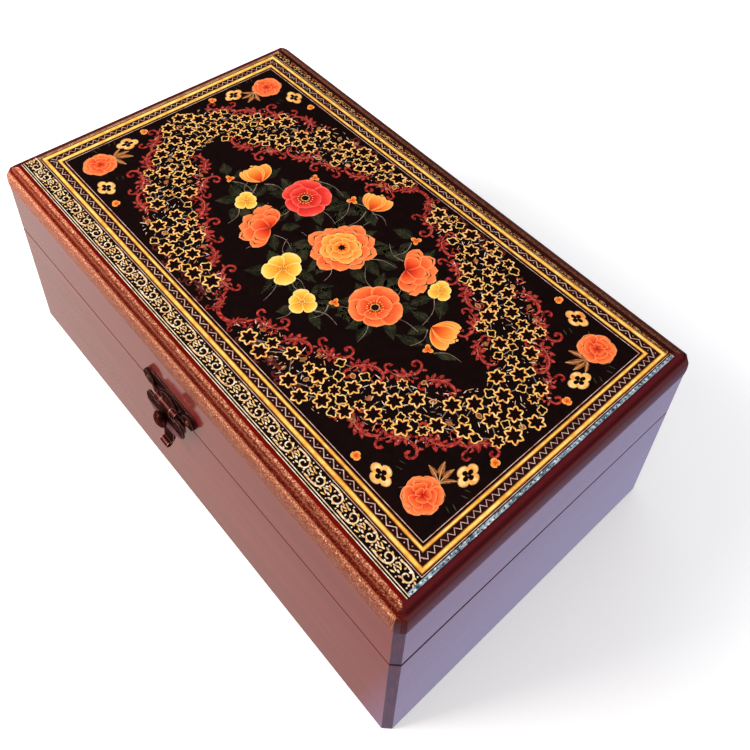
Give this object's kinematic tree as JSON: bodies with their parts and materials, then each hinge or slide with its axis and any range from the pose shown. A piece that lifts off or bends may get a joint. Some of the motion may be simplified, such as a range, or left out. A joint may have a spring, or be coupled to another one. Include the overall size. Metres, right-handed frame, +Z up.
{
  "type": "serving box",
  "caption": "Lacquered wooden serving box with a divided inside, a moulded hinged lid with a printed floral panel, stop hinges at the back and a hasp latch at the front.",
  "frame": {"origin": "middle of the underside, on the surface the box stands on", "axes": "+X along the long side, -Y out of the front with the latch, +Y out of the back with the hinges, +Z up"},
  "size_m": [0.2806, 0.1792, 0.1079],
  "materials": {
    "lacquered_wood": "dark red-brown stain under gloss lacquer",
    "inner_wood": "satin varnish",
    "printed_panel": "printed floral design under clear gloss lacquer",
    "dark_bronze": "antique bronze, dark with bright edges"
  },
  "bodies": {
    "base": {"base_front_wall": "lacquered_wood", "base_back_wall": "lacquered_wood", "base_left_wall": "lacquered_wood", "base_right_wall": "lacquered_wood", "base_floor": "inner_wood", "long_divider": "inner_wood", "cross_divider_left": "inner_wood", "cross_divider_middle": "inner_wood", "cross_divider_right": "inner_wood", "catch_plate": "dark_bronze", "catch_nails": "dark_bronze", "hinge_base_leaf_left": "dark_bronze", "hinge_base_leaf_right": "dark_bronze", "hinge_pin_left": "dark_bronze", "hinge_pin_right": "dark_bronze", "hinge_base_nails": "dark_bronze"},
    "lid": {"lid_front_rail": "lacquered_wood", "lid_back_rail": "lacquered_wood", "lid_left_rail": "lacquered_wood", "lid_right_rail": "lacquered_wood", "lid_top_board": "lacquered_wood", "picture_panel": "printed_panel", "latch_plate": "dark_bronze", "latch_nails": "dark_bronze", "latch_pin": "dark_bronze", "hinge_lid_leaf_left": "dark_bronze", "hinge_lid_leaf_right": "dark_bronze", "hinge_lid_nails": "dark_bronze"},
    "hasp": {"hasp": "dark_bronze", "hasp_knob": "dark_bronze"}
  },
  "joints": [
    {"name": "lid_hinge", "type": "hinge", "parent": "base", "child": "lid", "pos_m": [0, 0.08445, 0.0682], "axis": [-1, 0, 0], "range_deg": [0, 100]},
    {"name": "hasp_hinge", "type": "hinge", "parent": "lid", "child": "hasp", "pos_m": [0, -0.0852, 0.0738], "axis": [-1, 0, 0], "range_deg": [0, 110]}
  ]
}
